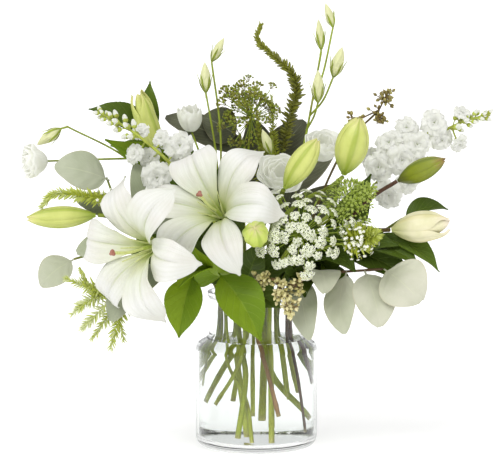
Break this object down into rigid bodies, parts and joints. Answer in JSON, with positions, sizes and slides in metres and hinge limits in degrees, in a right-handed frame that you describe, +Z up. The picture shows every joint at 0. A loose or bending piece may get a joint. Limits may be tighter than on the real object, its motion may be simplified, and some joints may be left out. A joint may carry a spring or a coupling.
{
  "type": "lilies in a vase",
  "caption": "Round arrangement of white lilies and buds with filler flowers and mixed foliage, standing in a clear glass jar vase filled with water.",
  "frame": {"origin": "middle of the vase's flat underside, on the surface it stands on", "axes": "+Z up along the vase's axis; -Y is the front, where both open lilies face; +X to the right seen from the front"},
  "size_m": [0.4957, 0.2942, 0.4631],
  "materials": {
    "clear_glass": "clear polished soda-lime glass",
    "water": "clear still water",
    "lily_petal": "waxy white petal with a green-yellow midrib",
    "lily_pistil": "moist pale green style with a brownish pink stigma",
    "lily_stalk": "satin green stem",
    "lily_bud": "waxy yellow-green to cream bud",
    "lily_bud_dark": "waxy dark green bud",
    "lisianthus_stalk": "satin grey-green stem and buds",
    "lisianthus_flower": "soft matte white petal",
    "stock_stalk": "satin pale green stem",
    "stock_floret": "soft matte white double florets",
    "loosestrife": "matte yellow-green bud spike",
    "ammi_floret": "matte greenish white florets",
    "ammi_green": "matte green rays and seed heads",
    "eucalyptus_seed": "matte cream to olive seed capsules",
    "eucalyptus_leaf": "powdery grey-green leaf",
    "salal_leaf": "leathery semi-gloss green leaf"
  },
  "bodies": {
    "root": {"glass_vase": "clear_glass", "vase_water": "water", "lily_stalk_left": "lily_stalk", "lily_stalk_top": "lily_stalk", "lily_stalk_centre": "lily_stalk", "lily_stalk_right": "lily_stalk", "lily_left_petal_1": "lily_petal", "lily_left_petal_2": "lily_petal", "lily_left_petal_3": "lily_petal", "lily_left_petal_4": "lily_petal", "lily_left_petal_5": "lily_petal", "lily_left_petal_6": "lily_petal", "lily_left_pistil": "lily_pistil", "lily_top_petal_1": "lily_petal", "lily_top_petal_2": "lily_petal", "lily_top_petal_3": "lily_petal", "lily_top_petal_4": "lily_petal", "lily_top_petal_5": "lily_petal", "lily_top_petal_6": "lily_petal", "lily_top_pistil": "lily_pistil", "lily_bud_far_left": "lily_bud", "lily_bud_upper_left": "lily_bud", "lily_bud_small": "lily_bud", "lily_bud_centre": "lily_bud", "lily_bud_tall": "lily_bud", "lily_bud_far_right": "lily_bud", "lily_bud_right": "lily_bud_dark", "lisianthus_sprig_right": "lisianthus_stalk", "lisianthus_sprig_left": "lisianthus_stalk", "lisianthus_sprig_far_left": "lisianthus_stalk", "lisianthus_sprig_centre": "lisianthus_stalk", "lisianthus_bloom_far_left": "lisianthus_flower", "lisianthus_bloom_left": "lisianthus_flower", "lisianthus_bloom_centre": "lisianthus_flower", "lisianthus_bloom_right": "lisianthus_flower", "stock_stem_left": "stock_stalk", "stock_florets_left": "stock_floret", "stock_stem_right": "stock_stalk", "stock_florets_right": "stock_floret", "loosestrife_top": "loosestrife", "loosestrife_left": "loosestrife", "loosestrife_right": "loosestrife", "loosestrife_low_left": "loosestrife", "ammi_stem_white": "ammi_green", "ammi_umbel_white": "ammi_floret", "ammi_umbel_green": "ammi_green", "ammi_umbel_back": "ammi_green", "salal_branch_front": "salal_leaf", "salal_branch_right": "salal_leaf", "salal_branch_back": "salal_leaf", "salal_leaf_front_left": "salal_leaf", "salal_leaf_front_centre": "salal_leaf", "eucalyptus_branch_left": "eucalyptus_leaf", "eucalyptus_branch_right": "eucalyptus_leaf", "eucalyptus_branch_back": "eucalyptus_leaf", "eucalyptus_leaf_right": "eucalyptus_leaf", "seeded_eucalyptus_front": "eucalyptus_seed", "seeded_eucalyptus_right": "eucalyptus_seed"}
  },
  "joints": []
}
